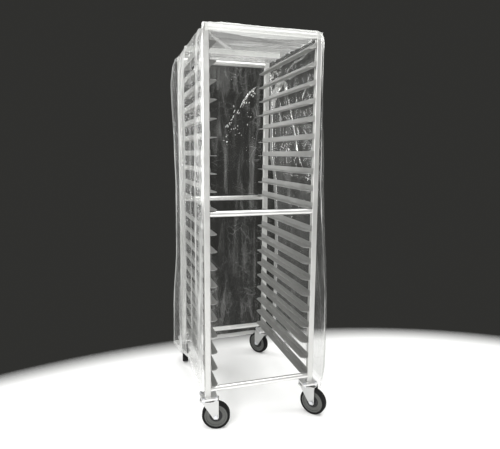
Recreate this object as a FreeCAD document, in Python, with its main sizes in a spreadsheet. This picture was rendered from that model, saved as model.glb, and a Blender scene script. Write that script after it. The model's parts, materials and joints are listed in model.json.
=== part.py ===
"""Twenty-tier sheet pan rack on four swivel casters, with a clear slip-over cover.

Millimetres, +Z up. The open front, where the pans go in, faces -Y. The origin is on the floor under
the middle of the frame.
"""
import FreeCAD
import Part
import Sketcher
import os
import sys

V = FreeCAD.Vector
doc = FreeCAD.newDocument("SheetPanRack")

CELLS = [
    # alias, value, what it is
    ("inside_width", 469.9, "clear width between the posts"),
    ("frame_depth", 711.2, "front face of the front posts to back face of the back posts"),
    ("post_size", 25.4, "outside size of the square post tube"),
    ("post_wall", 1.6, "wall of the post tube"),
    ("post_corner", 3.0, "outside corner radius of the post tube"),
    ("post_foot", 157.0, "height of the posts' lower ends"),
    ("post_top", 1746.0, "height of the posts' upper ends"),
    ("cap_head", 2.0, "thickness of a post cap's head"),
    ("cap_plug", 16.0, "length of a post cap's plug"),
    ("cap_slack", 0.2, "gap between a cap's plug and the tube"),
    ("bar_radius", 12.7, "outside radius of a crossbar tube"),
    ("bar_wall", 1.6, "wall of a crossbar tube"),
    ("bar_top_height", 1733.3, "centre height of the top crossbars"),
    ("bar_middle_height", 981.2, "centre height of the middle crossbars"),
    ("bar_bottom_height", 189.0, "centre height of the bottom crossbars"),
    ("tiers", 20, "number of pan tiers"),
    ("bank", 10, "tiers above the middle gap"),
    ("pitch", 76.2, "tier spacing"),
    ("middle_gap", 106.4, "spacing across the middle crossbars"),
    ("top_ledge", 1684.0, "height of the top tier's ledge"),
    ("ledge_width", 34.9, "width of a runner's ledge"),
    ("leg_height", 25.4, "height of a runner's upright leg"),
    ("runner_gauge", 2.0, "thickness of a runner"),
    ("ledge_corner", 26.0, "plan radius of a ledge's free corners"),
    ("bend_inside", 1.5, "inside radius of a runner's bend"),
    ("bend_outside", 3.5, "outside radius of a runner's bend"),
    ("caster_inset", 5.0, "swivel axis inboard of the post's centre, across and along"),
    ("pad_size", 74.0, "side of the square caster pad and caster plate"),
    ("pad_gauge", 4.8, "thickness of the caster pad under a post"),
    ("pad_hole", 11.5, "radius of the clearance hole over the kingpin's head"),
    ("plate_gauge", 4.0, "thickness of a caster's top plate"),
    ("plate_corner", 6.0, "corner radius of pads and plates"),
    ("boss_radius", 22.0, "radius of the race boss under a top plate"),
    ("boss_height", 6.7, "height of the race boss"),
    ("bolt_spread", 28.0, "bolt offset from the swivel axis, across and along"),
    ("bolt_radius", 4.0, "radius of a caster bolt"),
    ("bolt_hole", 4.3, "radius of the bolt holes"),
    ("bolt_head", 5.3, "height of a bolt's head"),
    ("hex_radius", 7.5, "corner radius of a bolt's head and nut"),
    ("nut_height", 6.5, "height of a nut"),
    ("nut_bore", 4.05, "radius of a nut's bore"),
    ("pin_radius", 6.0, "radius of a kingpin's shank"),
    ("pin_fit", 0.06, "radial running gap between a kingpin and its yoke"),
    ("pin_plate_gap", 0.04, "radial gap between a kingpin and its top plate"),
    ("pin_head", 10.0, "radius of a kingpin's upper head"),
    ("pin_head_height", 4.0, "height of a kingpin's upper head"),
    ("pin_foot", 11.0, "radius of a kingpin's lower head"),
    ("pin_foot_height", 7.0, "height of a kingpin's lower head"),
    ("swivel_play", 0.3, "axial gap at the swivel"),
    ("crown_radius", 36.0, "radius of a yoke's crown"),
    ("crown_gauge", 4.0, "thickness of a yoke's crown"),
    ("crown_top", 141.0, "height of a yoke's upper face"),
    ("leg_gauge", 3.0, "thickness of a yoke's side plates"),
    ("fork_gap", 39.0, "clear width between a yoke's side plates"),
    ("fork_back", 39.0, "side plate's reach ahead of the swivel axis"),
    ("fork_reach", 46.0, "side plate's reach behind the swivel axis"),
    ("trail", 33.0, "axle behind the swivel axis"),
    ("wheel_radius", 63.5, "outside radius of a wheel"),
    ("tyre_width", 32.0, "width of a tyre"),
    ("tyre_inside", 52.0, "inside radius of a tyre"),
    ("tyre_round", 5.0, "shoulder radius of a tyre"),
    ("rim_width", 29.0, "width of a wheel core's rim"),
    ("rim_inside", 47.0, "inside radius of a wheel core's rim"),
    ("web_width", 20.0, "width of a wheel core's web"),
    ("hub_radius", 29.0, "radius of a wheel's hub flanges"),
    ("hub_flange", 26.0, "width across a wheel's hub flanges"),
    ("hub_barrel", 15.0, "radius of a wheel's hub barrel"),
    ("hub_width", 37.0, "width of a wheel's hub barrel"),
    ("axle_radius", 5.0, "radius of an axle bolt"),
    ("axle_fit", 0.06, "radial running gap between an axle and its hub"),
    ("axle_hole_gap", 0.04, "radial gap between an axle and its yoke"),
    ("axle_hex", 9.2, "corner radius of an axle bolt's head and nut"),
    ("axle_head", 6.0, "height of an axle bolt's head and nut"),
    ("swivel_front_left", -15.0, "trail direction of the front left caster, degrees from +X"),
    ("swivel_front_right", -50.0, "trail direction of the front right caster"),
    ("swivel_back_left", 81.0, "trail direction of the back left caster"),
    ("swivel_back_right", 124.0, "trail direction of the back right caster"),
    ("film_gauge", 0.5, "thickness of the cover's panels"),
    ("film_left", 302.0, "cover's left side from the middle"),
    ("film_right", 330.0, "cover's right side from the middle"),
    ("film_front", 372.0, "cover's open front from the middle"),
    ("film_back", 412.0, "cover's back from the middle"),
    ("film_hem", 146.0, "height of the cover's hem"),
    ("film_top", 1748.4, "height of the underside of the cover's top"),
]

dims = doc.addObject("Spreadsheet::Sheet", "Dims")
for row, (alias, value, note) in enumerate(CELLS, start=1):
    dims.set(f"A{row}", note)
    dims.set(f"B{row}", str(value))
    dims.setAlias(f"B{row}", alias)
doc.recompute()


class Size:
    """A length or an angle as a number together with the spreadsheet expression that gives it."""

    def __init__(self, value, text):
        self.value = value
        self.text = text

    @staticmethod
    def of(other):
        return other if isinstance(other, Size) else Size(float(other), repr(float(other)))

    def combine(self, other, sign, value):
        return Size(value, f"({self.text} {sign} {Size.of(other).text})")

    def __add__(self, other):
        return self.combine(other, "+", self.value + Size.of(other).value)

    def __sub__(self, other):
        return self.combine(other, "-", self.value - Size.of(other).value)

    def __mul__(self, other):
        return self.combine(other, "*", self.value * Size.of(other).value)

    def __truediv__(self, other):
        return self.combine(other, "/", self.value / Size.of(other).value)

    def __neg__(self):
        return self * -1

    def cos(self):
        return self.turned("cos", V(1, 0, 0))

    def sin(self):
        return self.turned("sin", V(0, 1, 0))

    def turned(self, name, along):
        unit = FreeCAD.Rotation(V(0, 0, 1), self.value).multVec(V(1, 0, 0))
        return Size(unit.dot(along), f"{name}({self.text} * 1 deg)")


S = {alias: Size(float(value), f"Dims.{alias}") for alias, value, note in CELLS}


def bind(thing, prop, size):
    size = Size.of(size)
    thing.setExpression(prop, size.text)


def place(thing, x=0, y=0, z=0, turn=0):
    """Put a thing at x, y, z, turned about the vertical, with all four bound to the sheet."""
    x, y, z, turn = (Size.of(v) for v in (x, y, z, turn))
    at = V(x.value, y.value, z.value)
    thing.Placement = FreeCAD.Placement(at, FreeCAD.Rotation(V(0, 0, 1), turn.value))
    for prop, size in (("Base.x", x), ("Base.y", y), ("Base.z", z)):
        bind(thing, f"Placement.{prop}", size)
    if turn.value:
        thing.setExpression("Placement.Rotation.Angle", f"{turn.text} * 1 deg")
    return thing


def new_body(label):
    body = doc.addObject("PartDesign::Body", label)
    body.Label = label
    return body


def new_sketch(body, plane, height=None):
    sketch = body.newObject("Sketcher::SketchObject", f"{body.Name}_sketch")
    support = [f for f in body.Origin.OriginFeatures if f.Role == plane][0]
    sketch.AttachmentSupport = (support, [""])
    sketch.MapMode = "FlatFace"
    if height is not None:
        bind(sketch, "AttachmentOffset.Base.z", height)
    return sketch


def pin_point(sketch, geometry, point, x, y):
    for kind, size in (("DistanceX", Size.of(x)), ("DistanceY", Size.of(y))):
        index = sketch.addConstraint(
            Sketcher.Constraint(kind, -1, 1, geometry, point, size.value)
        )
        bind(sketch, f"Constraints[{index}]", size)


def polygon(sketch, points):
    points = [(Size.of(x), Size.of(y)) for x, y in points]
    corners = [V(x.value, y.value, 0) for x, y in points]
    first = sketch.GeometryCount
    count = len(corners)
    for i in range(count):
        sketch.addGeometry(Part.LineSegment(corners[i], corners[(i + 1) % count]), False)
    for i in range(count):
        following = first + (i + 1) % count
        sketch.addConstraint(Sketcher.Constraint("Coincident", first + i, 2, following, 1))
    for i, (x, y) in enumerate(points):
        pin_point(sketch, first + i, 1, x, y)


def rectangle(sketch, x0, y0, x1, y1):
    polygon(sketch, [(x0, y0), (x1, y0), (x1, y1), (x0, y1)])


def square(sketch, side):
    rectangle(sketch, -side / 2, -side / 2, side / 2, side / 2)


def circle(sketch, x, y, radius):
    x, y, radius = Size.of(x), Size.of(y), Size.of(radius)
    index = sketch.addGeometry(
        Part.Circle(V(x.value, y.value, 0), V(0, 0, 1), radius.value), False
    )
    pin_point(sketch, index, 3, x, y)
    constraint = sketch.addConstraint(Sketcher.Constraint("Radius", index, radius.value))
    bind(sketch, f"Constraints[{constraint}]", radius)


def pad(body, sketch, length, symmetric=False):
    feature = body.newObject("PartDesign::Pad", f"{body.Name}_pad")
    feature.Profile = sketch
    bind(feature, "Length", length)
    if symmetric:
        feature.SideType = "Symmetric"
    return feature


def pocket(body, sketch, length=None):
    """Cut a sketch through the body, symmetric about the sketch, or right through with no length."""
    feature = body.newObject("PartDesign::Pocket", f"{body.Name}_pocket")
    feature.Profile = sketch
    if length is None:
        feature.Type = "ThroughAll"
    else:
        bind(feature, "Length", length)
    feature.SideType = "Symmetric"
    return feature


def revolve(body, sketch):
    feature = body.newObject("PartDesign::Revolution", f"{body.Name}_revolution")
    feature.Profile = sketch
    feature.ReferenceAxis = (sketch, ["V_Axis"])
    feature.Angle = 360.0
    return feature


def fillet(body, base, radius, wanted):
    """Round the edges whose middle point and direction the function wanted accepts."""
    doc.recompute()
    names = []
    for number, edge in enumerate(base.Shape.Edges, start=1):
        if edge.Curve.TypeId == "Part::GeomLine":
            middle = edge.valueAt((edge.FirstParameter + edge.LastParameter) / 2)
            if wanted(middle, edge.tangentAt(edge.FirstParameter)):
                names.append(f"Edge{number}")
    feature = body.newObject("PartDesign::Fillet", f"{body.Name}_fillet")
    feature.Base = (base, names)
    bind(feature, "Radius", radius)
    return feature


def group(label, pieces):
    compound = doc.addObject("Part::Compound", label)
    compound.Label = label
    compound.Links = pieces
    return compound


nodes = []
FRONT, BACK, LEFT, RIGHT = -1, 1, -1, 1
CORNERS = [
    ("front_left", LEFT, FRONT),
    ("front_right", RIGHT, FRONT),
    ("back_left", LEFT, BACK),
    ("back_right", RIGHT, BACK),
]
half_inside = S["inside_width"] / 2
post_x = half_inside + S["post_size"] / 2
post_y = S["frame_depth"] / 2 - S["post_size"] / 2
caster_x = post_x - S["caster_inset"]
caster_y = post_y - S["caster_inset"]


# ---------------------------------------------------------------- frame: posts, caps, crossbars
def make_post(label):
    body = new_body(label)
    sketch = new_sketch(body, "XY_Plane")
    square(sketch, S["post_size"])
    square(sketch, S["post_size"] - S["post_wall"] * 2)
    tube = pad(body, sketch, S["post_top"] - S["post_foot"])
    reach = S["post_size"].value / 2 - 0.1
    fillet(body, tube, S["post_corner"],
           lambda m, t: abs(t.z) > 0.9 and abs(m.x) > reach and abs(m.y) > reach)
    return body


def make_cap(label):
    body = new_body(label)
    sketch = new_sketch(body, "XY_Plane")
    square(sketch, S["post_size"])
    head = pad(body, sketch, S["cap_head"])
    fillet(body, head, S["post_corner"], lambda m, t: abs(t.z) > 0.9)
    plug = new_sketch(body, "XY_Plane", -S["cap_plug"])
    square(plug, S["post_size"] - S["post_wall"] * 2 - S["cap_slack"] * 2)
    pad(body, plug, S["cap_plug"] + S["cap_head"] / 2)
    return body


caps = []
for corner, side, end in CORNERS:
    nodes.append(place(make_post(f"post_{corner}"), post_x * side, post_y * end, S["post_foot"]))
    caps.append(place(make_cap(f"cap_{corner}"), post_x * side, post_y * end, S["post_top"]))
nodes.append(group("post_caps", caps))


def make_bar(label):
    body = new_body(label)
    sketch = new_sketch(body, "YZ_Plane")
    circle(sketch, 0, 0, S["bar_radius"])
    circle(sketch, 0, 0, S["bar_radius"] - S["bar_wall"])
    pad(body, sketch, S["inside_width"], symmetric=True)
    return body


for level in ("top", "middle", "bottom"):
    for face, end in (("front", FRONT), ("back", BACK)):
        bar = make_bar(f"crossbar_{face}_{level}")
        nodes.append(place(bar, 0, post_y * end, S[f"bar_{level}_height"]))


# ---------------------------------------------------------------- pan runners
def make_runner(label):
    """An angle whose ledge points to +X with its top face at z = 0, and whose leg stands up at x = 0."""
    body = new_body(label)
    gauge, ledge, leg = S["runner_gauge"], S["ledge_width"], S["leg_height"]
    sketch = new_sketch(body, "XZ_Plane")
    polygon(sketch, [(0, -gauge), (ledge, -gauge), (ledge, 0), (gauge, 0),
                     (gauge, leg - gauge), (0, leg - gauge)])
    angle = pad(body, sketch, S["frame_depth"], symmetric=True)
    tip = ledge.value - 0.1
    rounded = fillet(body, angle, S["ledge_corner"], lambda m, t: abs(t.z) > 0.9 and m.x > tip)
    bent = fillet(body, rounded, S["bend_inside"],
                  lambda m, t: abs(t.y) > 0.9 and abs(m.x - gauge.value) < 0.1 and abs(m.z) < 0.1)
    fillet(body, bent, S["bend_outside"],
           lambda m, t: abs(t.y) > 0.9 and abs(m.x) < 0.1 and m.z < 0.1 - gauge.value)
    return body


runner_left = place(make_runner("runner_left"), -half_inside)
runner_right = place(make_runner("runner_right"), half_inside, turn=180)
for tier in range(int(S["tiers"].value)):
    height = S["top_ledge"] - S["pitch"] * tier
    if tier >= S["bank"].value:
        height = height - (S["middle_gap"] - S["pitch"])
    pair = group(f"runner_pair_{tier + 1:02d}", [runner_left, runner_right])
    nodes.append(place(pair, z=height))


# ---------------------------------------------------------------- caster pads, plates, bolts, kingpins
pad_foot = S["post_foot"] - S["pad_gauge"]
plate_foot = pad_foot - S["plate_gauge"]
BOLTS = [(x, y) for x in (-1, 1) for y in (-1, 1)]


def bolt_holes(sketch):
    for x, y in BOLTS:
        circle(sketch, S["bolt_spread"] * x, S["bolt_spread"] * y, S["bolt_hole"])


def rounded_plate(label, hole, gauge):
    body = new_body(label)
    sketch = new_sketch(body, "XY_Plane")
    square(sketch, S["pad_size"])
    circle(sketch, 0, 0, hole)
    bolt_holes(sketch)
    slab = pad(body, sketch, gauge)
    reach = S["pad_size"].value / 2 - 0.1
    fillet(body, slab, S["plate_corner"],
           lambda m, t: abs(t.z) > 0.9 and abs(m.x) > reach and abs(m.y) > reach)
    return body


def make_top_plate(label):
    hole = S["pin_radius"] + S["pin_plate_gap"]
    body = rounded_plate(label, hole, S["plate_gauge"])
    boss = new_sketch(body, "XY_Plane", -S["boss_height"])
    circle(boss, 0, 0, S["boss_radius"])
    circle(boss, 0, 0, hole)
    pad(body, boss, S["boss_height"] + S["plate_gauge"] / 2)
    return body


def make_kingpin(label):
    """Shank up the swivel axis, with a flat head over the top plate and a foot under the yoke."""
    body = new_body(label)
    sketch = new_sketch(body, "XZ_Plane")
    shank, head, foot = S["pin_radius"], S["pin_head"], S["pin_foot"]
    foot_top = S["crown_top"] - S["crown_gauge"] - S["swivel_play"]
    polygon(sketch, [
        (0, foot_top - S["pin_foot_height"]), (foot, foot_top - S["pin_foot_height"]),
        (foot, foot_top), (shank, foot_top), (shank, pad_foot), (head, pad_foot),
        (head, pad_foot + S["pin_head_height"]), (0, pad_foot + S["pin_head_height"]),
    ])
    revolve(body, sketch)
    return body


def hexagon(label, radius, height):
    prism = doc.addObject("Part::Prism", label)
    prism.Polygon = 6
    bind(prism, "Circumradius", radius)
    bind(prism, "Height", height)
    return prism


def rod(label, radius, height):
    cylinder = doc.addObject("Part::Cylinder", label)
    bind(cylinder, "Radius", radius)
    bind(cylinder, "Height", height)
    return cylinder


def boolean(kind, label, base, tool):
    result = doc.addObject(f"Part::{kind}", label)
    result.Base, result.Tool = base, tool
    return result


pads, plates, kingpins, bolts, nuts = [], [], [], [], []
nut_foot = plate_foot - S["nut_height"]
for corner, side, end in CORNERS:
    at_x, at_y = caster_x * side, caster_y * end
    pad_body = rounded_plate(f"pad_{corner}", S["pad_hole"], S["pad_gauge"])
    pads.append(place(pad_body, at_x, at_y, pad_foot))
    plates.append(place(make_top_plate(f"plate_{corner}"), at_x, at_y, plate_foot))
    kingpins.append(place(make_kingpin(f"kingpin_{corner}"), at_x, at_y))
    for number, (x, y) in enumerate(BOLTS, start=1):
        bolt_x, bolt_y = at_x + S["bolt_spread"] * x, at_y + S["bolt_spread"] * y
        name = f"{corner}_{number}"
        head = place(hexagon(f"head_{name}", S["hex_radius"], S["bolt_head"]),
                     bolt_x, bolt_y, S["post_foot"])
        shank = place(rod(f"shank_{name}", S["bolt_radius"], S["post_foot"] - nut_foot),
                      bolt_x, bolt_y, nut_foot)
        bolts.append(boolean("Fuse", f"bolt_{name}", head, shank))
        blank = place(hexagon(f"blank_{name}", S["hex_radius"], S["nut_height"]),
                      bolt_x, bolt_y, nut_foot)
        bore = place(rod(f"bore_{name}", S["nut_bore"], S["nut_height"]), bolt_x, bolt_y, nut_foot)
        nuts.append(boolean("Cut", f"nut_{name}", blank, bore))
nodes += [
    group("caster_pads", pads),
    group("caster_plates", plates),
    group("kingpins", kingpins),
    group("caster_bolts", bolts),
    group("caster_nuts", nuts),
]


# ---------------------------------------------------------------- swivelling forks and wheels
def make_yoke(label):
    """Pressed fork around the swivel axis at x = 0, trailing towards +X, at its height above the floor."""
    body = new_body(label)
    top, radius, trail = S["crown_top"], S["wheel_radius"], S["trail"]
    width = S["fork_gap"] + S["leg_gauge"] * 2
    side = new_sketch(body, "XZ_Plane")
    polygon(side, [
        (-S["fork_back"], top), (-S["fork_back"], top - 6), (trail * -0.8, top - 13),
        (trail - 13.5, radius - 5), (trail - 8, radius - 12), (trail + 8, radius - 12),
        (S["fork_reach"], radius - 5), (S["fork_reach"], top),
    ])
    pad(body, side, width, symmetric=True)
    throat = new_sketch(body, "XZ_Plane")
    rectangle(throat, -S["fork_back"] - 5, 0, S["fork_reach"] + 5, top - S["crown_gauge"])
    pocket(body, throat, S["fork_gap"])
    crown = new_sketch(body, "XY_Plane", top - S["crown_gauge"])
    circle(crown, 0, 0, S["crown_radius"])
    pad(body, crown, S["crown_gauge"])
    pin_hole = new_sketch(body, "XY_Plane", top)
    circle(pin_hole, 0, 0, S["pin_radius"] + S["pin_fit"])
    pocket(body, pin_hole)
    axle_hole = new_sketch(body, "XZ_Plane")
    circle(axle_hole, trail, radius, S["axle_radius"] + S["axle_hole_gap"])
    pocket(body, axle_hole)
    return body


def make_axle(label):
    """Bolt across the fork on its own Y axis, its hexagonal head at one end and its nut at the other."""
    body = new_body(label)
    span = S["fork_gap"] + S["leg_gauge"] * 2
    shank = new_sketch(body, "XZ_Plane")
    circle(shank, 0, 0, S["axle_radius"])
    pad(body, shank, span + S["axle_head"] * 2, symmetric=True)
    for sign in (-1, 1):
        end = new_sketch(body, "XZ_Plane", (span + S["axle_head"]) / 2 * sign)
        half = S["axle_hex"] / 2
        flat = S["axle_hex"] * 0.8660254
        polygon(end, [(S["axle_hex"], 0), (half, flat), (-half, flat),
                      (-S["axle_hex"], 0), (-half, -flat), (half, -flat)])
        pad(body, end, S["axle_head"], symmetric=True)
    return body


def wheel_ring(label, profile):
    """Turn a profile, given as radius and distance along the axle, about the wheel's own Y axis."""
    body = new_body(label)
    sketch = new_sketch(body, "XY_Plane")
    polygon(sketch, profile)
    revolve(body, sketch)
    return body


def mirrored(profile):
    """Complete a profile that is given for one half of the wheel's width."""
    return profile + [(radius, -across) for radius, across in reversed(profile)]


def make_tyre(label):
    outer, inner, half, soft = S["wheel_radius"], S["tyre_inside"], S["tyre_width"] / 2, S["tyre_round"]
    return wheel_ring(label, mirrored([
        (inner, half - 1.5), (inner + 1.5, half), (outer - soft, half),
        (outer - soft * 0.29, half - soft * 0.29), (outer, half - soft),
    ]))


def make_core(label):
    rim, web = S["rim_width"] / 2, S["web_width"] / 2
    return wheel_ring(label, mirrored([
        (S["hub_radius"], web), (S["rim_inside"] - 2, web), (S["rim_inside"], rim),
        (S["tyre_inside"], rim),
    ]))


def make_hub(label):
    flange, barrel = S["hub_flange"] / 2, S["hub_width"] / 2
    return wheel_ring(label, mirrored([
        (S["axle_radius"] + S["axle_fit"], barrel), (S["hub_barrel"] - 1, barrel),
        (S["hub_barrel"], barrel - 1), (S["hub_barrel"], flange),
        (S["hub_radius"] - 1, flange), (S["hub_radius"], flange - 1),
    ]))


for corner, side, end in CORNERS:
    turn = S[f"swivel_{corner}"]
    at_x, at_y = caster_x * side, caster_y * end
    wheel_x = at_x + S["trail"] * turn.cos()
    wheel_y = at_y + S["trail"] * turn.sin()
    nodes.append(place(make_yoke(f"yoke_{corner}"), at_x, at_y, turn=turn))
    for make, name in ((make_axle, "axle"), (make_hub, "wheel_hub"),
                       (make_core, "wheel_core"), (make_tyre, "tyre")):
        nodes.append(place(make(f"{name}_{corner}"), wheel_x, wheel_y, S["wheel_radius"], turn))


# ---------------------------------------------------------------- clear cover: four welded film panels
def make_panel(label, x0, y0, z0, x1, y1, z1):
    panel = doc.addObject("Part::Box", label)
    panel.Label = label
    for prop, low, high in (("Length", x0, x1), ("Width", y0, y1), ("Height", z0, z1)):
        bind(panel, prop, high - low)
    return place(panel, x0, y0, z0)


left, right, gauge = -S["film_left"], S["film_right"], S["film_gauge"]
front, back = -S["film_front"], S["film_back"]
hem, roof = S["film_hem"], S["film_top"]
nodes += [
    make_panel("cover_top", left, front, roof, right, back, roof + gauge),
    make_panel("cover_left", left, front, hem, left + gauge, back, roof),
    make_panel("cover_right", right - gauge, front, hem, right, back, roof),
    make_panel("cover_back", left + gauge, back - gauge, hem, right - gauge, back, roof),
]

doc.recompute()

faults = [f"{thing.Name}: {thing.State}" for thing in doc.Objects
          if "Invalid" in thing.State or "Error" in thing.State]
for node in nodes:
    if node.Shape.isNull() or not node.Shape.isValid() or not node.Shape.Solids:
        faults.append(f"{node.Label}: no valid solid")
if len({node.Label for node in nodes}) != len(nodes):
    faults.append("two nodes share a label")
if faults:
    sys.exit("\n".join(faults))

os.makedirs("parts", exist_ok=True)
for node in nodes:
    node.Shape.exportStep(os.path.join("parts", f"{node.Label}.step"))
    box = node.Shape.BoundBox
    print(f"{node.Label:24s} {len(node.Shape.Solids):3d} solids {node.Shape.Volume / 1000:9.2f} cm3"
          f"  x {box.XMin:7.1f} {box.XMax:7.1f}  y {box.YMin:7.1f} {box.YMax:7.1f}"
          f"  z {box.ZMin:7.1f} {box.ZMax:7.1f}")
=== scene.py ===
"""Sheet pan rack with a clear slip-over film cover: materials, cover, lights and camera."""
import json
import math
import random

import bmesh
import bpy
from mathutils import Matrix, Vector, noise


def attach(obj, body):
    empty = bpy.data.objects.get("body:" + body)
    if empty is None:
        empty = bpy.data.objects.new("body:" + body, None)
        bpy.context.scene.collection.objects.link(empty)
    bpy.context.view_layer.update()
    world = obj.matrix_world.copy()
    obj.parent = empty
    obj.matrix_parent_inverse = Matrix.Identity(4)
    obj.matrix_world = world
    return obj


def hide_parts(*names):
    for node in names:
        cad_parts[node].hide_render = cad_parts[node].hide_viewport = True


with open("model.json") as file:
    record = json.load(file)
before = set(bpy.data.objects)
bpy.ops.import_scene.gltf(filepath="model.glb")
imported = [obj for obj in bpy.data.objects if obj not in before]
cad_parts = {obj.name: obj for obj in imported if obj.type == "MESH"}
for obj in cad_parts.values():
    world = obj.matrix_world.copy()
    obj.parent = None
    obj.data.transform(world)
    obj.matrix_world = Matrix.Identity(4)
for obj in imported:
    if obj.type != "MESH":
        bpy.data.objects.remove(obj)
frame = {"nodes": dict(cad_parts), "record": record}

CHANCE = random.Random(11)
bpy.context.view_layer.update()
scene = bpy.context.scene


# ---------------------------------------------------------------- camera
def add_camera():
    """The photograph's viewpoint: left of the rack, at two thirds of its height, a little down."""
    place = Vector((-0.6283, -2.2099, 1.2321))
    yaw, pitch, roll = 0.2978, -0.1532, 0.0078
    ahead = Vector((math.sin(yaw) * math.cos(pitch), math.cos(yaw) * math.cos(pitch),
                    math.sin(pitch)))
    level = Vector((math.cos(yaw), -math.sin(yaw), 0))
    right = level * math.cos(roll) + level.cross(ahead) * math.sin(roll)
    up = right.cross(ahead)
    camera = bpy.data.objects.new("Camera", bpy.data.cameras.new("Camera"))
    camera.data.sensor_width = 36.0
    camera.data.lens = 32.6
    axes = Matrix((right, up, -ahead)).transposed()
    camera.matrix_world = Matrix.Translation(place) @ axes.to_4x4()
    scene.collection.objects.link(camera)
    scene.camera = camera


add_camera()


# ---------------------------------------------------------------- shader building
class Nodes:
    """A material's node tree, with short calls for the nodes that the finishes share."""

    def __init__(self, name):
        self.material = bpy.data.materials.new(name)
        self.material.use_nodes = True
        self.tree = self.material.node_tree
        self.tree.nodes.clear()
        self.output = self.add("OutputMaterial")
        self.point = self.add("TexCoord").outputs["Object"]

    def add(self, kind, **settings):
        node = self.tree.nodes.new("ShaderNode" + kind)
        for key, value in settings.items():
            setattr(node, key, value)
        return node

    def put(self, value, socket):
        if isinstance(value, bpy.types.NodeSocket):
            self.tree.links.new(value, socket)
        else:
            socket.default_value = value

    def stretch(self, scale, turn=(0, 0, 0)):
        mapping = self.add("Mapping")
        self.put(self.point, mapping.inputs["Vector"])
        mapping.inputs["Scale"].default_value = scale
        mapping.inputs["Rotation"].default_value = turn
        return mapping.outputs["Vector"]

    def noise(self, scale, detail=4.0, rough=0.55, vector=None, warp=0.0):
        node = self.add("TexNoise")
        self.put(vector or self.point, node.inputs["Vector"])
        node.inputs["Scale"].default_value = scale
        node.inputs["Detail"].default_value = detail
        node.inputs["Roughness"].default_value = rough
        node.inputs["Distortion"].default_value = warp
        return node.outputs["Fac"]

    def cells(self, scale, feature="F1", vector=None, spread=1.0):
        node = self.add("TexVoronoi", feature=feature)
        self.put(vector or self.point, node.inputs["Vector"])
        node.inputs["Scale"].default_value = scale
        node.inputs["Randomness"].default_value = spread
        return node.outputs["Distance"]

    def ramp(self, value, *stops):
        """Map a value through (position, level or colour) stops."""
        node = self.add("ValToRGB")
        self.put(value, node.inputs["Fac"])
        steps = node.color_ramp.elements
        while len(steps) < len(stops):
            steps.new(0.5)
        for step, (position, level) in zip(steps, stops):
            step.position = position
            step.color = (*level, 1) if isinstance(level, tuple) else (level, level, level, 1)
        return node.outputs["Color"]

    def warped(self, scale, amount):
        """The surface's own coordinates, pushed about by a slow noise."""
        drift = self.add("TexNoise")
        self.put(self.point, drift.inputs["Vector"])
        drift.inputs["Scale"].default_value = scale
        push = self.add("VectorMath", operation="MULTIPLY_ADD")
        self.put(drift.outputs["Color"], push.inputs[0])
        push.inputs[1].default_value = (amount, amount, amount)
        self.put(self.point, push.inputs[2])
        return push.outputs["Vector"]

    def maths(self, operation, a, b=0.0):
        node = self.add("Math", operation=operation)
        self.put(a, node.inputs[0])
        self.put(b, node.inputs[1])
        return node.outputs["Value"]

    def mix(self, factor, a, b, blend="MIX"):
        node = self.add("Mix", data_type="RGBA", blend_type=blend)
        self.put(factor, node.inputs["Factor"])
        for value, socket in ((a, node.inputs["A"]), (b, node.inputs["B"])):
            self.put((*value, 1) if isinstance(value, tuple) else value, socket)
        return node.outputs["Result"]

    def bump(self, height, strength, distance, below=None):
        node = self.add("Bump")
        self.put(height, node.inputs["Height"])
        node.inputs["Strength"].default_value = strength
        node.inputs["Distance"].default_value = distance
        if below is not None:
            self.put(below, node.inputs["Normal"])
        return node.outputs["Normal"]

    def principled(self, **values):
        node = self.add("BsdfPrincipled")
        for key, value in values.items():
            socket = node.inputs[key.replace("_", " ").title().replace("Ior", "IOR")]
            if isinstance(value, tuple):
                value = (*value, 1)
            self.put(value, socket)
        return node.outputs["BSDF"]

    def blend(self, factor, a, b):
        node = self.add("MixShader")
        self.put(factor, node.inputs["Fac"])
        self.put(a, node.inputs[1])
        self.put(b, node.inputs[2])
        return node.outputs["Shader"]

    def finish(self, shader):
        self.put(shader, self.output.inputs["Surface"])
        return self.material


def aluminium(name, tone, along, rough, scuffs=0.5):
    """Extruded aluminium: die lines along the profile, a cloudy satin surface and light scuffs."""
    n = Nodes(name)
    thin = {"x": (6, 900, 900), "y": (900, 6, 900), "z": (900, 900, 6)}[along]
    lines = n.noise(1.0, 3.0, 0.6, n.stretch(thin))
    clouds = n.noise(9.0, 5.0, 0.6, warp=0.4)
    scratches = n.noise(55.0, 6.0, 0.7, n.stretch((1, 1, 0.35)), warp=1.2)
    marks = n.ramp(scratches, (0.60, 0.0), (0.72, 1.0))
    dark = tuple(c * 0.90 for c in tone)
    light = tuple(min(1.0, c * 1.05) for c in tone)
    colour = n.mix(clouds, dark, light)
    colour = n.mix(n.maths("MULTIPLY", marks, 0.22 * scuffs), colour, tuple(c * 0.62 for c in tone))
    roughness = n.ramp(clouds, (0.30, rough - 0.07), (0.70, rough + 0.09))
    roughness = n.mix(n.maths("MULTIPLY", marks, 0.6), roughness, (0.58, 0.58, 0.58))
    normal = n.bump(lines, 0.10, 0.0004)
    normal = n.bump(n.noise(26.0, 2.0), 0.05, 0.004, normal)
    return n.finish(n.principled(base_color=colour, metallic=1.0, roughness=roughness,
                                 normal=normal))


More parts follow.
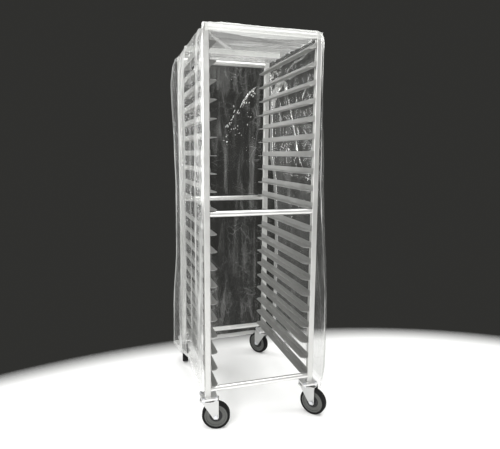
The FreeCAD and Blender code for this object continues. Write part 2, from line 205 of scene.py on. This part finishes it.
def zinc(name, tone, rough):
    """Bright zinc plate over pressed steel: faint crystals, a cool bloom and dulled patches."""
    n = Nodes(name)
    crystals = n.cells(420.0)
    bloom = n.noise(38.0, 4.0, 0.6, warp=0.8)
    colour = n.mix(bloom, tuple(c * 0.80 for c in tone), tone)
    colour = n.mix(n.maths("MULTIPLY", n.noise(120.0, 3.0), 0.18), colour, (0.58, 0.60, 0.62))
    roughness = n.ramp(bloom, (0.3, rough - 0.06), (0.75, rough + 0.14))
    normal = n.bump(crystals, 0.08, 0.0006)
    normal = n.bump(n.noise(60.0, 2.0), 0.10, 0.002, normal)
    return n.finish(n.principled(base_color=colour, metallic=1.0, roughness=roughness,
                                 normal=normal))


def moulded(name, tone, rough, grain, dust=0.0, gloss=0.5):
    """Moulded plastic or rubber: fine grain, uneven sheen and, where it rolls, a little dust."""
    n = Nodes(name)
    clouds = n.noise(24.0, 5.0, 0.6)
    fine = n.noise(grain, 3.0, 0.7)
    colour = n.mix(clouds, tuple(c * 0.75 for c in tone), tuple(min(1.0, c * 1.25) for c in tone))
    if dust:
        worn = n.ramp(n.noise(90.0, 6.0, 0.75, warp=0.6), (0.45, 0.0), (0.75, 1.0))
        colour = n.mix(n.maths("MULTIPLY", worn, dust), colour, (0.30, 0.29, 0.27))
    roughness = n.ramp(clouds, (0.3, rough - 0.08), (0.7, rough + 0.10))
    normal = n.bump(fine, 0.25, 0.0006)
    return n.finish(n.principled(base_color=colour, roughness=roughness, normal=normal,
                                 specular_ior_level=gloss))


FINISHES = {
    "post": aluminium("post_aluminium", (0.62, 0.62, 0.607), "z", 0.46),
    "crossbar": aluminium("crossbar_aluminium", (0.80, 0.80, 0.785), "x", 0.34, 0.3),
    # The runners share the posts' aluminium but get a darker tone: painted shade for the dimmer light
    # inside the cover.
    "runner": aluminium("runner_aluminium", (0.39, 0.39, 0.382), "y", 0.42, 0.8),
    "pad": aluminium("pad_aluminium", (0.78, 0.78, 0.78), "x", 0.42, 0.8),
    "cap": moulded("cap_plastic", (0.62, 0.62, 0.62), 0.5, 900.0),
    "zinc_plate": zinc("plate_zinc", (0.72, 0.72, 0.71), 0.30),
    "zinc_pin": zinc("kingpin_zinc", (0.68, 0.69, 0.71), 0.34),
    "zinc_bolt": zinc("bolt_zinc", (0.66, 0.67, 0.70), 0.28),
    "yoke": zinc("yoke_zinc", (0.57, 0.57, 0.562), 0.40),
    "hub": moulded("hub_plastic", (0.010, 0.010, 0.011), 0.48, 900.0, gloss=0.3),
    "wheel_core": moulded("core_plastic", (0.082, 0.084, 0.080), 0.52, 700.0, 0.08, 0.3),
    "tyre": moulded("tyre_rubber", (0.005, 0.005, 0.0053), 0.75, 500.0, 0.03, 0.12),
}

slots = {part["node"]: part["material_slot"] for part in frame["record"]["subparts"]}
for name, thing in frame["nodes"].items():
    finish = FINISHES.get(slots[name])
    if finish is not None:
        for slot in thing.material_slots:
            slot.material = finish


# ---------------------------------------------------------------- clear film
def film(name, streaks, stretch, rough, crease, sheen, lines=0.0, bands=None, tint=0.96, glow=0.4):
    """Soft clear film with white streaks, thin curved white crease lines and small facets that glint.

    The white is partly the film's own milky haze and partly painted glints and reflections.
    streaks gives that milkiness at three levels of a stretched noise; lines, that of the creases.
    bands are (axis, from, to, (place, milkiness) stops): painted reflection on film that hangs in
    folds, and painted sheen on the top.
    tint is how much passes straight through; glow, how much of the milkiness is lit from behind.
    """
    n = Nodes(name)
    cloud = n.noise(5.0, 4.0, 0.6, warp=0.6)
    long = n.noise(1.0, 4.0, 0.6, n.stretch(stretch), warp=0.9)
    wander = n.warped(7.0, 0.075)
    facets = n.cells(26.0, vector=wander)
    edges = n.cells(19.0, "DISTANCE_TO_EDGE", wander)
    normal = n.bump(long, crease, 0.016)
    normal = n.bump(facets, crease * 0.7, 0.006, normal)
    normal = n.bump(n.noise(75.0, 3.0), crease * 0.25, 0.0016, normal)
    body = n.principled(
        base_color=n.mix(cloud, (0.80, 0.81, 0.79), (0.94, 0.945, 0.93)),
        roughness=0.35, normal=normal,
    )
    behind = n.add("BsdfTranslucent")
    behind.inputs["Color"].default_value = (0.90, 0.905, 0.89, 1)
    n.put(normal, behind.inputs["Normal"])
    body = n.blend(glow, body, behind.outputs["BSDF"])
    clear = n.add("BsdfTransparent")
    clear.inputs["Color"].default_value = (tint, tint * 1.005, tint * 0.995, 1)
    # White streaks: partly the film's own haze, partly painted glints standing in for light mirrored
    # off its crinkles.
    haze_and_glint = n.ramp(long, *zip((0.36, 0.52, 0.68), streaks))
    # Bands of extra white: painted reflection on the side's hanging folds and painted sheen on the
    # top.
    if bands:
        axis, low, high, stops = bands
        axes = n.add("SeparateXYZ")
        n.put(n.point, axes.inputs["Vector"])
        inward = n.maths("DIVIDE", n.maths("SUBTRACT", axes.outputs[axis], low), high - low)
        drift = n.maths("MULTIPLY", n.noise(1.0, 3.0, 0.6, n.stretch((9, 9, 1.8))), 0.06)
        level = n.ramp(n.maths("SUBTRACT", n.maths("ADD", inward, drift), 0.03), *stops)
        haze_and_glint = n.maths("MULTIPLY", level, haze_and_glint)
    # Thin white crease lines, partly painted glints along the creases.
    if lines:
        thin = n.ramp(edges, (0.0, 1.0), (0.035, 0.0))
        patchy = n.maths("MULTIPLY", thin, n.ramp(cloud, (0.42, 0.0), (0.62, lines)))
        haze_and_glint = n.mix(patchy, haze_and_glint, (0.85, 0.85, 0.85))
    shine = n.add("BsdfGlossy")
    shine.inputs["Color"].default_value = (1, 1, 1, 1)
    shine.inputs["Roughness"].default_value = rough
    n.put(normal, shine.inputs["Normal"])
    mirror = n.add("Fresnel")
    mirror.inputs["IOR"].default_value = 1.52
    n.put(normal, mirror.inputs["Normal"])
    glint = n.maths("MULTIPLY", mirror.outputs["Fac"], sheen)
    through = n.blend(haze_and_glint, clear.outputs["BSDF"], body)
    return n.finish(n.blend(glint, through, shine.outputs["BSDF"]))


FRONT_Y, BACK_Y = -0.3665, 0.385
UPRIGHT, ACROSS = (17, 17, 2.4), (2.2, 22, 14)
# Painted reflection: white bands across the left panel where its hanging folds mirror the light,
# clear film between them.
SIDE_FOLD_REFLECTIONS = ("Y", FRONT_Y, BACK_Y, (
    (0.00, 0.90), (0.14, 0.85), (0.17, 0.04), (0.25, 0.04), (0.275, 0.75), (0.30, 0.65),
    (0.325, 0.05), (0.47, 0.09), (0.51, 0.95), (0.76, 0.90), (0.80, 0.03), (1.00, 0.04)))
# The top's white haze, heavier towards its right side, is partly the film's own haze and partly
# painted sheen from light catching the top.
ROOF_HAZE_AND_SHEEN = ("X", -0.262, 0.262, ((0.00, 0.55), (0.30, 0.50), (0.62, 1.00), (1.00, 1.00)))
# The back and right panels' film lets 0.79 through: a grey tint that is painted shade, standing in
# for light the clear film reflects away when seen at a slant.
WALL = film("film_wall", (0.0, 0.018, 0.15), UPRIGHT, 0.06, 0.60, 0.12, 0.24, tint=0.79)
SIDE = film("film_side", (0.14, 0.42, 0.92), UPRIGHT, 0.09, 0.95, 0.34, 0.45, SIDE_FOLD_REFLECTIONS, 0.88)
ROOF = film("film_roof", (0.18, 0.45, 0.92), ACROSS, 0.12, 0.50, 0.45, 0.20, ROOF_HAZE_AND_SHEEN)
# The band film's whitish haze is partly the doubled film of hems and edges and partly a painted
# highlight along them.
BAND = film("film_band", (0.34, 0.46, 0.68), ACROSS, 0.14, 0.30, 0.80)
WELD = film("film_weld", (0.25, 0.40, 0.65), UPRIGHT, 0.12, 0.30, 0.60)
# Near-solid white film for pleats, sharp folds, the right mouth's turn and crumpled facets: painted
# glints where light catches folded film.
FOLD_GLINT = film("film_fold", (0.93, 0.97, 1.0), UPRIGHT, 0.15, 0.40, 0.90, glow=0.5)
# Patchy white film for crease ridges: painted glints, broken into small bright specks.
FLECK_GLINT = film("film_fleck", (0.02, 0.30, 0.98), (75, 75, 45), 0.10, 0.90, 0.90)
FILMS = (WALL, SIDE, ROOF, BAND, WELD, FOLD_GLINT, FLECK_GLINT)
IN_WALL, IN_SIDE, IN_ROOF, IN_BAND, IN_WELD, IN_FOLD_GLINT, IN_FLECK_GLINT = range(7)

# The cover's upright edges, lowest point first: (height, distance from the middle), in metres. Each
# side panel's mouth turns in towards the post from a fold that stands FOLD_AT of the way in.
LEFT_FRONT = ((0.185, -0.272), (0.45, -0.270), (0.85, -0.270), (1.10, -0.2635), (1.35, -0.262),
              (1.749, -0.262))
LEFT_FOLD = ((0.185, -0.281), (0.45, -0.285), (0.90, -0.285), (1.35, -0.281), (1.70, -0.275),
             (1.749, -0.262))
LEFT_BACK = ((0.105, -0.298), (0.376, -0.294), (0.677, -0.274), (1.057, -0.271), (1.254, -0.276),
             (1.609, -0.289), (1.70, -0.280), (1.749, -0.262))
RIGHT_FRONT = ((0.112, 0.296), (0.177, 0.304), (0.260, 0.306), (0.466, 0.307), (0.612, 0.304),
               (0.746, 0.295), (0.850, 0.285), (0.988, 0.271), (1.123, 0.264), (1.384, 0.262),
               (1.749, 0.262))
RIGHT_FOLD = ((0.112, 0.338), (0.210, 0.351), (0.308, 0.353), (0.437, 0.352), (0.589, 0.348),
              (0.728, 0.341), (0.835, 0.332), (0.979, 0.322), (1.119, 0.315), (1.255, 0.308),
              (1.433, 0.296), (1.620, 0.277), (1.700, 0.264), (1.749, 0.262))
RIGHT_BACK = ((0.112, 0.338), (0.371, 0.342), (0.789, 0.345), (1.080, 0.330), (1.237, 0.305),
              (1.541, 0.296), (1.680, 0.286), (1.749, 0.264))
HEM, MOUTH, SEAM = 0.024, 0.018, 0.014
FOLD_AT = 0.09
RESTS = (-0.343, 0.105, 0.343)
# The left hem's height from the front to the back, as shares of the way in.
LEFT_HEM = ((0.0, 0.185), (0.15, 0.203), (0.29, 0.212), (0.43, 0.211), (0.62, 0.171), (0.88, 0.121),
            (1.0, 0.105))


def along(curve, share):
    """The (height, spread) at a share of the way up an upright edge, between its points."""
    low, high = curve[0][0], curve[-1][0]
    z = low + (high - low) * share
    for (z0, x0), (z1, x1) in zip(curve, curve[1:]):
        if z <= z1 or (z1, x1) == curve[-1]:
            t = min(max((z - z0) / (z1 - z0), 0), 1)
            t = t * t * (3 - 2 * t) * 0.5 + t * 0.5
            return z, x0 + (x1 - x0) * t


def between(a, b, t):
    return a + (b - a) * t


def read(curve, at):
    """The value of a curve of (place, value) points at a place."""
    for (p0, v0), (p1, v1) in zip(curve, curve[1:]):
        if at <= p1 + 1e-9:
            return between(v0, v1, (at - p0) / (p1 - p0))
    return curve[-1][1]


def shares(count, first=0.0, last=0.0):
    """Steps from 0 to 1, even except for one narrow step of the given share at either end."""
    inner = [between(first, 1 - last, i / count) for i in range(count + 1)]
    return ([0.0] if first else []) + inner + ([1.0] if last else [])


def round_off(point, corner, side, radius=0.034):
    """Bring a point of the cover's mouth inside a rounded upper corner."""
    x, z = (corner[1] * side - radius) * side, corner[0] - radius
    out, up = (point.x - x) * side, point.z - z
    if out > 0 and up > 0:
        reach = radius / math.hypot(out, up)
        point.x, point.z = x + out * reach * side, z + up * reach


def cover_mesh(across, deep, high):
    """The cover as four joined grids: left, top and right as one strip, and the back.

    Returns the mesh, and each panel's grid of vertex numbers.
    """
    mesh = bmesh.new()
    up = shares(high, HEM / 1.6, SEAM / 1.6)
    in_ = shares(deep, MOUTH / 0.75, SEAM / 0.75)
    over = shares(across, SEAM / 0.6, SEAM / 0.6)
    found = {}

    def vertex(x, y, z):
        key = (round(x, 5), round(y, 5), round(z, 5))
        if key not in found:
            found[key] = mesh.verts.new((x, y, z))
        return found[key]

    def side(front, back, s, t):
        z0, x0 = along(front, s)
        z1, x1 = along(back, s)
        z = between(z0, z1, t)
        if front is LEFT_FRONT:
            z += (read(LEFT_HEM, t) - between(front[0][0], back[0][0], t)) * (1 - s) ** 4
        fold = along(LEFT_FOLD if front is LEFT_FRONT else RIGHT_FOLD, s)[1]
        if t < FOLD_AT:
            turn = t / FOLD_AT
            x = between(x0, fold, turn * turn * (3 - 2 * turn))
        else:
            x = between(fold, x1, (t - FOLD_AT) / (1 - FOLD_AT))
        return vertex(x, between(FRONT_Y, BACK_Y, t), z)

    def roof(r, t):
        left = between(LEFT_FRONT[-1][1], LEFT_BACK[-1][1], t)
        right = between(RIGHT_FRONT[-1][1], RIGHT_BACK[-1][1], t)
        return vertex(between(left, right, r), between(FRONT_Y, BACK_Y, t), LEFT_FRONT[-1][0])

    def rear(r, s):
        z0, x0 = along(LEFT_BACK, s)
        z1, x1 = along(RIGHT_BACK, s)
        return vertex(between(x0, x1, r), BACK_Y, between(z0, z1, r))

    grids = {
        "left": [[side(LEFT_FRONT, LEFT_BACK, s, t) for t in in_] for s in up],
        "right": [[side(RIGHT_FRONT, RIGHT_BACK, s, t) for t in in_] for s in up],
        "top": [[roof(r, t) for t in in_] for r in over],
        "back": [[rear(r, s) for s in up] for r in over],
    }
    for panel, grid in grids.items():
        last_i, last_j = len(grid) - 2, len(grid[0]) - 2
        for i in range(last_i + 1):
            for j in range(last_j + 1):
                corners = [grid[i][j], grid[i + 1][j], grid[i + 1][j + 1], grid[i][j + 1]]
                face = mesh.faces.new(corners)
                face.smooth = True
                wall = panel in ("left", "right")
                # The right mouth's turn takes the near-solid white film, painted white as a glint
                # along it.
                if panel == "right" and j == 0:
                    face.material_index = IN_FOLD_GLINT
                # Hems and front edges take the band film, whose white is partly a painted highlight.
                elif (wall and i == 0) or j == 0:
                    face.material_index = IN_BAND
                elif (j == last_j and panel != "left") or (panel == "back" and i == last_i):
                    face.material_index = IN_WELD
                else:
                    face.material_index = {"left": IN_SIDE, "top": IN_ROOF}.get(panel, IN_WALL)
    for corner in mesh.verts:
        if corner.co.y < between(FRONT_Y, BACK_Y, FOLD_AT * 1.3):
            round_off(corner.co, LEFT_FRONT[-1], -1)
            round_off(corner.co, RIGHT_FRONT[-1], 1)
    bmesh.ops.recalc_face_normals(mesh, faces=mesh.faces)
    mesh.verts.index_update()
    numbers = {panel: [[v.index for v in line] for line in grid] for panel, grid in grids.items()}
    return mesh, numbers


def row_at(grids, points, depth):
    """Which line of the top panel lies nearest to a distance from the middle of the rack."""
    first = grids["top"][0]
    return min(range(len(first)), key=lambda j: abs(points[first[j]].y - depth))


def held_points(grids, points):
    """The points that stay put: upright edges, the mouth's folds, the top over bars and pleat."""
    held = set()
    first = grids["right"][0]
    fold_y = between(FRONT_Y, BACK_Y, FOLD_AT)
    turn = min(range(len(first)), key=lambda j: abs(points[first[j]].y - fold_y))
    for panel in ("left", "right"):
        for line in grids[panel]:
            held.update((line[0], line[turn], line[-1]))
    for depth in RESTS:
        j = row_at(grids, points, depth)
        held.update(line[j] for line in grids["top"])
    return held


def run_cloth(piece, held, roof, frames):
    """Let the film settle under its own weight with its held points fixed, and keep the result."""
    pinned = piece.vertex_groups.new(name="held")
    pinned.add(sorted(held), 1.0, "REPLACE")
    loose = piece.vertex_groups.new(name="slack")
    loose.add([v.index for v in piece.data.vertices], 0.8, "REPLACE")
    loose.add(sorted(roof), 0.25, "REPLACE")
    cloth = piece.modifiers.new("Cloth", "CLOTH")
    settings = cloth.settings
    settings.quality = 6
    settings.mass = 0.004
    settings.tension_stiffness = 12
    settings.compression_stiffness = 12
    settings.shear_stiffness = 6
    settings.bending_stiffness = 0.12
    settings.tension_damping = 6
    settings.compression_damping = 6
    settings.shear_damping = 6
    settings.bending_damping = 0.6
    settings.air_damping = 2.0
    settings.vertex_group_mass = pinned.name
    settings.pin_stiffness = 1.0
    settings.vertex_group_shrink = loose.name
    settings.shrink_min = 0.0
    settings.shrink_max = -0.035
    cloth.point_cache.frame_start = 1
    cloth.point_cache.frame_end = frames
    scene.frame_start, scene.frame_end = 1, frames
    for step in range(1, frames + 1):
        scene.frame_set(step)
    depsgraph = bpy.context.evaluated_depsgraph_get()
    settled = bpy.data.meshes.new_from_object(piece.evaluated_get(depsgraph))
    piece.modifiers.remove(cloth)
    piece.data = settled
    scene.frame_set(1)


def ribbon(mesh, line, drop, depth, material):
    """A welded fin or hanging pleat: a strip from a line of points, depth(share) wide along drop."""
    rows = []
    for i, point in enumerate(line):
        width = depth(i / (len(line) - 1))
        wave = noise.noise(point * 21.0) * 0.10 * width
        away = Vector(drop).normalized()
        rows.append((point, point + away * width * 0.5 + Vector((0, wave, 0)),
                     point + away * width))
    grid = [[mesh.verts.new(p) for p in row] for row in rows]
    for a, b in zip(grid, grid[1:]):
        for j in range(2):
            face = mesh.faces.new((a[j], b[j], b[j + 1], a[j + 1]))
            face.smooth = True
            face.material_index = material


def through(points, steps):
    """Points along a smooth line through the given ones."""
    points = [Vector(p) for p in points]
    padded = [points[0] * 2 - points[1]] + points + [points[-1] * 2 - points[-2]]
    line = []
    for a, b, c, d in zip(padded, padded[1:], padded[2:], padded[3:]):
        for i in range(steps):
            t = i / steps
            line.append(0.5 * (2 * b + (c - a) * t + (2 * a - 5 * b + 4 * c - d) * t * t
                               + (3 * b - a - 3 * c + d) * t ** 3))
    return line + [points[-1]]


def fold_line(mesh, points, width, lift, material):
    """A sharp fold that stands off a panel: a narrow uneven ridge along a line, tapered."""
    line, lift = through(points, 8), Vector(lift)
    rows = []
    for i, middle in enumerate(line):
        run = (line[min(i + 1, len(line) - 1)] - line[max(i - 1, 0)]).normalized()
        across = run.cross(lift.normalized())
        taper = max(math.sin(math.pi * i / (len(line) - 1)) ** 0.5, 0.08)
        middle = middle + across * noise.noise(middle * 30.0) * 0.004
        half = across * (width * 0.5 * taper * (1 + 0.5 * noise.noise(middle * 45.0)))
        rows.append((middle - half, middle + lift * taper, middle + half))
    grid = [[mesh.verts.new(p) for p in row] for row in rows]
    for a, b in zip(grid, grid[1:]):
        for j in range(2):
            face = mesh.faces.new((a[j], b[j], b[j + 1], a[j + 1]))
            face.smooth = True
            face.material_index = material


def glint_facets(mesh, start, end, spread, size, count, lift):
    """Small facets of crumpled film painted bright white as glints, scattered about a line and tilted
    off the panel.
    """
    start, end, lift = Vector(start), Vector(end), Vector(lift)
    run = (end - start).normalized()
    across = run.cross(lift.normalized())
    for _ in range(count):
        middle = start.lerp(end, CHANCE.random()) + across * CHANCE.gauss(0, spread)
        turn = CHANCE.gauss(0, 0.5)
        long = (run * math.cos(turn) + across * math.sin(turn)) * size * CHANCE.uniform(0.4, 1.3)
        wide = long.cross(lift.normalized()) * CHANCE.uniform(0.15, 0.45)
        corners = (middle - long, middle - wide + lift * CHANCE.random(),
                   middle + long, middle + wide)
        mesh.faces.new([mesh.verts.new(p) for p in corners]).material_index = IN_FOLD_GLINT


def add_piece(name, mesh):
    data = bpy.data.meshes.new(name)
    mesh.to_mesh(data)
    mesh.free()
    piece = bpy.data.objects.new(name, data)
    scene.collection.objects.link(piece)
    for material in FILMS:
        piece.data.materials.append(material)
    return piece


def make_cover():
    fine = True
    built, grids = cover_mesh(*((30, 34, 76) if fine else (14, 16, 34)))
    built.verts.ensure_lookup_table()
    held = held_points(grids, [v.co for v in built.verts])
    roof = {v for line in grids["top"] for v in line}
    for corner in built.verts:
        if corner.index not in held:
            corner.co += noise.noise_vector(corner.co * 8.0 + Vector((3.1, 0.7, 5.3))) * 0.006
        elif corner.index in roof:
            corner.co.z += 0.0015 * noise.noise(corner.co * 14.0)
    piece = add_piece("film_cover", built)
    if fine:
        run_cloth(piece, held, roof, 30)
    points = [v.co.copy() for v in piece.data.vertices]
    smooth = piece.modifiers.new("Smooth", "SUBSURF")
    smooth.levels = smooth.render_levels = 1
    return piece, grids, points


# Sharp folds that stand off the back and right panels (points, width, lift, finish), painted white as
# glints, and where crumpled film has facets painted bright as glints (start, end, spread, half a
# facet's length, how many, lift).
BACKWARD, OUTWARD = (0, -0.005, 0), (-0.005, 0, 0)
CREASE_GLINTS = (
    (((0.200, 0.376, 1.620), (0.150, 0.376, 1.575), (0.100, 0.376, 1.500)),
     0.010, BACKWARD, IN_FLECK_GLINT),
    (((0.291, 0.330, 1.490), (0.291, 0.330, 1.560), (0.291, 0.270, 1.605), (0.291, 0.175, 1.625)),
     0.075, OUTWARD, IN_FOLD_GLINT),
    (((0.291, 0.175, 1.627), (0.291, 0.130, 1.570)), 0.036, OUTWARD, IN_FOLD_GLINT),
    (((0.291, 0.135, 1.575), (0.291, 0.095, 1.505), (0.291, 0.045, 1.420), (0.292, 0.005, 1.340),
      (0.293, -0.040, 1.240), (0.294, -0.105, 1.165)), 0.011, OUTWARD, IN_FLECK_GLINT),
    (((0.288, 0.150, 1.655), (0.288, 0.060, 1.690), (0.286, -0.090, 1.700), (0.286, -0.150, 1.715)),
     0.009, OUTWARD, IN_FLECK_GLINT),
    (((0.289, 0.140, 1.645), (0.289, 0.080, 1.625), (0.288, -0.030, 1.640), (0.287, -0.180, 1.655)),
     0.009, OUTWARD, IN_FLECK_GLINT),
    (((0.290, -0.080, 1.500), (0.290, -0.110, 1.535), (0.290, -0.130, 1.560)),
     0.006, OUTWARD, IN_FLECK_GLINT),
)
CRUMPLE_GLINTS = (
    ((0.190, 0.376, 1.600), (0.080, 0.376, 1.470), 0.009, 0.008, 26, BACKWARD),
    ((0.080, 0.376, 1.470), (0.020, 0.376, 1.385), 0.006, 0.008, 10, BACKWARD),
    ((0.150, 0.376, 1.520), (0.010, 0.376, 1.290), 0.030, 0.005, 22, BACKWARD),
    ((0.283, 0.360, 1.690), (0.283, 0.200, 1.690), 0.018, 0.020, 22, OUTWARD),
    ((0.290, 0.250, 1.530), (0.290, 0.080, 1.360), 0.030, 0.013, 9, OUTWARD),
    ((0.290, 0.200, 1.290), (0.290, 0.050, 1.255), 0.014, 0.012, 14, OUTWARD),
)


def on_roof(grid, points, x, y):
    """The height of the settled top nearest to a place on it."""
    near = min((points[v] for line in grid for v in line),
               key=lambda p: (p.x - x) ** 2 + (p.y - y) ** 2)
    return Vector((x, y, near.z))


def make_trim(grids, points):
    """The film's doubled parts: the hanging front band, welded fins, roof pleats, sharp folds and
    crumpled facets, the pleats, folds and facets painted white as glints and the band's white partly
    a painted highlight.
    """
    mesh = bmesh.new()
    top = grids["top"]
    front = [points[line[0]] for line in top]
    # The hanging front band: doubled film whose white is partly a painted highlight along the top
    # front edge.
    ribbon(mesh, front, (0, 0.05, -1),
           lambda t: 0.024 + 0.022 * math.sin(math.pi * t) ** 0.7, IN_BAND)
    for panel, drop in (("left", (-0.5, 0.85, 0)), ("right", (0.5, 0.85, 0))):
        ribbon(mesh, [points[line[-1]] for line in grids[panel]], drop, lambda t: 0.010, IN_WELD)
    ribbon(mesh, [points[line[-1]] for line in top], (0, 0.6, 0.8), lambda t: 0.006, IN_WELD)
    crest = row_at(grids, points, RESTS[1])
    ridge = [points[line[crest]] for line in top[:-2]]
    # The pleat under the top and the slanted fold across it take the near-solid white film: painted
    # glints.
    ribbon(mesh, ridge, (0, 0.1, -1), lambda t: 0.022, IN_FOLD_GLINT)
    ribbon(mesh, [p + Vector((0, -0.010, 0.002)) for p in ridge], (0, 1, 0),
           lambda t: 0.020, IN_FOLD_GLINT)
    slant = [on_roof(top, points, between(-0.215, -0.010, i / 16), between(-0.235, 0.095, i / 16))
             for i in range(17)]
    ribbon(mesh, slant, (0.2, 0, -1), lambda t: 0.006 + 0.012 * math.sin(math.pi * t), IN_FOLD_GLINT)
    for points_on, width, lift, material in CREASE_GLINTS:
        fold_line(mesh, points_on, width, lift, material)
    for crumple in CRUMPLE_GLINTS:
        glint_facets(mesh, *crumple)
    return mesh


cover, cover_grids, cover_points = make_cover()
trim = add_piece("film_trim", make_trim(cover_grids, cover_points))
for piece in (cover, trim):
    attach(piece, "cover")
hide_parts("cover_top", "cover_left", "cover_right", "cover_back")


# ---------------------------------------------------------------- floor, surroundings and lights
def add_floor():
    """A wide pale floor that fades into the grey surroundings at its rim, soon behind the rack."""
    half_wide, half_deep, forward = 2.7, 1.75, 1.0
    mesh = bmesh.new()
    bmesh.ops.create_circle(mesh, cap_ends=True, segments=96, radius=1.0,
                            matrix=Matrix.Diagonal((half_wide, half_deep, 1, 1)))
    for corner in mesh.verts:
        corner.co.y -= forward
    data = bpy.data.meshes.new("Floor")
    mesh.to_mesh(data)
    mesh.free()
    floor = bpy.data.objects.new("Floor", data)
    scene.collection.objects.link(floor)
    n = Nodes("floor_pale")
    shift = n.add("VectorMath", operation="MULTIPLY_ADD")
    n.put(n.point, shift.inputs[0])
    shift.inputs[1].default_value = (1 / half_wide, 1 / half_deep, 0)
    shift.inputs[2].default_value = (0, forward / half_deep, 0)
    reach = n.add("VectorMath", operation="LENGTH")
    n.put(shift.outputs["Vector"], reach.inputs[0])
    fade = n.ramp(reach.outputs["Value"], (0.84, 0.0), (0.97, 1.0))
    pale = n.principled(base_color=(0.95, 0.95, 0.945), roughness=0.55)
    clear = n.add("BsdfTransparent").outputs["BSDF"]
    floor.data.materials.append(n.finish(n.blend(fade, pale, clear)))


def add_surroundings():
    """Soft pale light from all round, with a darker grey behind the rack so clear film shows."""
    world = bpy.data.worlds.new("Studio")
    world.use_nodes = True
    tree = world.node_tree
    tree.nodes.clear()
    output = tree.nodes.new("ShaderNodeOutputWorld")
    path = tree.nodes.new("ShaderNodeLightPath")
    blend = tree.nodes.new("ShaderNodeMixShader")
    lit, seen = (tree.nodes.new("ShaderNodeBackground") for _ in range(2))
    lit.inputs["Color"].default_value = (0.50, 0.50, 0.49, 1)
    seen.inputs["Color"].default_value = (0.030, 0.030, 0.028, 1)
    tree.links.new(path.outputs["Is Camera Ray"], blend.inputs["Fac"])
    tree.links.new(lit.outputs[0], blend.inputs[1])
    tree.links.new(seen.outputs[0], blend.inputs[2])
    tree.links.new(blend.outputs[0], output.inputs["Surface"])
    scene.world = world


def add_lamp(name, place, aim, power, width, height):
    light = bpy.data.lights.new(name, "AREA")
    light.shape = "RECTANGLE"
    light.size, light.size_y = width, height
    light.energy = power
    lamp = bpy.data.objects.new(name, light)
    lamp.location = place
    lamp.rotation_euler = (Vector(aim) - Vector(place)).to_track_quat("-Z", "Y").to_euler()
    scene.collection.objects.link(lamp)


add_floor()
add_surroundings()
add_lamp("Key", (-1.9, -2.5, 2.3), (0, 0, 0.9), 66, 1.6, 1.8)
add_lamp("Front", (-1.5, -2.6, 1.25), (0, 0.2, 1.3), 22, 0.6, 0.6)
add_lamp("Top", (0.2, -0.7, 4.2), (0, 0, 0.0), 115, 3.0, 3.0)
add_lamp("Fill", (3.3, -1.8, 1.5), (0, 0, 0.9), 12, 1.2, 2.0)
add_lamp("Rim", (-2.3, 2.4, 1.7), (0, 0, 1.3), 55, 0.9, 2.2)
add_lamp("Strip", (2.2, -0.4, 2.7), (0.2, 0.2, 1.3), 26, 0.4, 1.8)
scene.view_settings.view_transform = "Standard"
